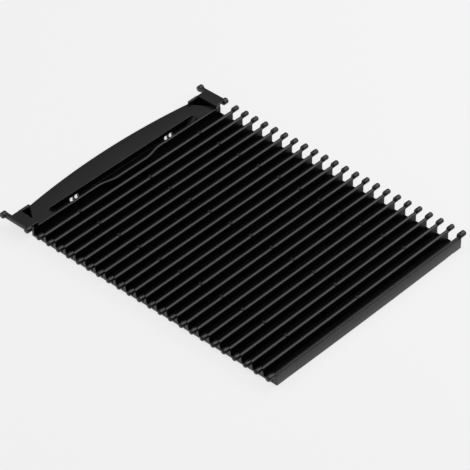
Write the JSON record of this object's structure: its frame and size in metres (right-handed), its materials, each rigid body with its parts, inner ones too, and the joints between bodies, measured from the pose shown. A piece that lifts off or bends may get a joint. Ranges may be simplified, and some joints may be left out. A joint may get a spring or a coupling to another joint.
{
  "type": "roller cover",
  "caption": "Flexible roller cover of ribbed slats on soft hinge strips, with guide pins at the slat ends and a pull bar on two runners.",
  "frame": {"origin": "bottom centre of the bounding box, on the show face", "axes": "+X along the slats, +Y along the travel toward the pull bar, +Z from the show face to the ribs"},
  "size_m": [0.1488, 0.1844, 0.0082],
  "materials": {
    "black_plastic": "satin moulded black",
    "soft_hinge": "matte soft black"
  },
  "bodies": {
    "pull_bar": {"pull_bar": "black_plastic"},
    "slat_01": {"slat_01": "black_plastic", "hinge_strip_01": "soft_hinge"},
    "slat_02": {"slat_02": "black_plastic", "hinge_strip_02": "soft_hinge"},
    "slat_03": {"slat_03": "black_plastic", "hinge_strip_03": "soft_hinge"},
    "slat_04": {"slat_04": "black_plastic", "hinge_strip_04": "soft_hinge"},
    "slat_05": {"slat_05": "black_plastic", "hinge_strip_05": "soft_hinge"},
    "slat_06": {"slat_06": "black_plastic", "hinge_strip_06": "soft_hinge"},
    "slat_07": {"slat_07": "black_plastic", "hinge_strip_07": "soft_hinge"},
    "slat_08": {"slat_08": "black_plastic", "hinge_strip_08": "soft_hinge"},
    "slat_09": {"slat_09": "black_plastic", "hinge_strip_09": "soft_hinge"},
    "slat_10": {"slat_10": "black_plastic", "hinge_strip_10": "soft_hinge"},
    "slat_11": {"slat_11": "black_plastic", "hinge_strip_11": "soft_hinge"},
    "slat_12": {"slat_12": "black_plastic", "hinge_strip_12": "soft_hinge"},
    "slat_13": {"slat_13": "black_plastic", "hinge_strip_13": "soft_hinge"},
    "slat_14": {"slat_14": "black_plastic", "hinge_strip_14": "soft_hinge"},
    "slat_15": {"slat_15": "black_plastic", "hinge_strip_15": "soft_hinge"},
    "slat_16": {"slat_16": "black_plastic", "hinge_strip_16": "soft_hinge"},
    "slat_17": {"slat_17": "black_plastic", "hinge_strip_17": "soft_hinge"},
    "slat_18": {"slat_18": "black_plastic", "hinge_strip_18": "soft_hinge"},
    "slat_19": {"slat_19": "black_plastic", "hinge_strip_19": "soft_hinge"},
    "slat_20": {"slat_20": "black_plastic", "hinge_strip_20": "soft_hinge"},
    "slat_21": {"slat_21": "black_plastic", "hinge_strip_21": "soft_hinge"},
    "slat_22": {"slat_22": "black_plastic", "hinge_strip_22": "soft_hinge"},
    "end_slat": {"end_slat": "black_plastic", "hinge_strip_23": "soft_hinge"}
  },
  "joints": [
    {"name": "hinge_01", "type": "hinge", "parent": "pull_bar", "child": "slat_01", "pos_m": [0, 0.0682, 0.0006], "axis": [-1, 0, 0], "range_deg": [-4, 12]},
    {"name": "hinge_02", "type": "hinge", "parent": "slat_01", "child": "slat_02", "pos_m": [0, 0.0612, 0.0006], "axis": [-1, 0, 0], "range_deg": [-4, 12]},
    {"name": "hinge_03", "type": "hinge", "parent": "slat_02", "child": "slat_03", "pos_m": [0, 0.0542, 0.0006], "axis": [-1, 0, 0], "range_deg": [-4, 12]},
    {"name": "hinge_04", "type": "hinge", "parent": "slat_03", "child": "slat_04", "pos_m": [0, 0.0472, 0.0006], "axis": [-1, 0, 0], "range_deg": [-4, 12]},
    {"name": "hinge_05", "type": "hinge", "parent": "slat_04", "child": "slat_05", "pos_m": [0, 0.0402, 0.0006], "axis": [-1, 0, 0], "range_deg": [-4, 12]},
    {"name": "hinge_06", "type": "hinge", "parent": "slat_05", "child": "slat_06", "pos_m": [0, 0.0332, 0.0006], "axis": [-1, 0, 0], "range_deg": [-4, 12]},
    {"name": "hinge_07", "type": "hinge", "parent": "slat_06", "child": "slat_07", "pos_m": [0, 0.0262, 0.0006], "axis": [-1, 0, 0], "range_deg": [-4, 12]},
    {"name": "hinge_08", "type": "hinge", "parent": "slat_07", "child": "slat_08", "pos_m": [0, 0.0192, 0.0006], "axis": [-1, 0, 0], "range_deg": [-4, 12]},
    {"name": "hinge_09", "type": "hinge", "parent": "slat_08", "child": "slat_09", "pos_m": [0, 0.0122, 0.0006], "axis": [-1, 0, 0], "range_deg": [-4, 12]},
    {"name": "hinge_10", "type": "hinge", "parent": "slat_09", "child": "slat_10", "pos_m": [0, 0.0052, 0.0006], "axis": [-1, 0, 0], "range_deg": [-4, 12]},
    {"name": "hinge_11", "type": "hinge", "parent": "slat_10", "child": "slat_11", "pos_m": [0, -0.0018, 0.0006], "axis": [-1, 0, 0], "range_deg": [-4, 12]},
    {"name": "hinge_12", "type": "hinge", "parent": "slat_11", "child": "slat_12", "pos_m": [0, -0.0088, 0.0006], "axis": [-1, 0, 0], "range_deg": [-4, 12]},
    {"name": "hinge_13", "type": "hinge", "parent": "slat_12", "child": "slat_13", "pos_m": [0, -0.0158, 0.0006], "axis": [-1, 0, 0], "range_deg": [-4, 12]},
    {"name": "hinge_14", "type": "hinge", "parent": "slat_13", "child": "slat_14", "pos_m": [0, -0.0228, 0.0006], "axis": [-1, 0, 0], "range_deg": [-4, 12]},
    {"name": "hinge_15", "type": "hinge", "parent": "slat_14", "child": "slat_15", "pos_m": [0, -0.0298, 0.0006], "axis": [-1, 0, 0], "range_deg": [-4, 12]},
    {"name": "hinge_16", "type": "hinge", "parent": "slat_15", "child": "slat_16", "pos_m": [0, -0.0368, 0.0006], "axis": [-1, 0, 0], "range_deg": [-4, 12]},
    {"name": "hinge_17", "type": "hinge", "parent": "slat_16", "child": "slat_17", "pos_m": [0, -0.0438, 0.0006], "axis": [-1, 0, 0], "range_deg": [-4, 12]},
    {"name": "hinge_18", "type": "hinge", "parent": "slat_17", "child": "slat_18", "pos_m": [0, -0.0508, 0.0006], "axis": [-1, 0, 0], "range_deg": [-4, 12]},
    {"name": "hinge_19", "type": "hinge", "parent": "slat_18", "child": "slat_19", "pos_m": [0, -0.0578, 0.0006], "axis": [-1, 0, 0], "range_deg": [-4, 12]},
    {"name": "hinge_20", "type": "hinge", "parent": "slat_19", "child": "slat_20", "pos_m": [0, -0.0648, 0.0006], "axis": [-1, 0, 0], "range_deg": [-4, 12]},
    {"name": "hinge_21", "type": "hinge", "parent": "slat_20", "child": "slat_21", "pos_m": [0, -0.0718, 0.0006], "axis": [-1, 0, 0], "range_deg": [-4, 12]},
    {"name": "hinge_22", "type": "hinge", "parent": "slat_21", "child": "slat_22", "pos_m": [0, -0.0788, 0.0006], "axis": [-1, 0, 0], "range_deg": [-4, 12]},
    {"name": "hinge_23", "type": "hinge", "parent": "slat_22", "child": "end_slat", "pos_m": [0, -0.0858, 0.0006], "axis": [-1, 0, 0], "range_deg": [-4, 12]}
  ]
}
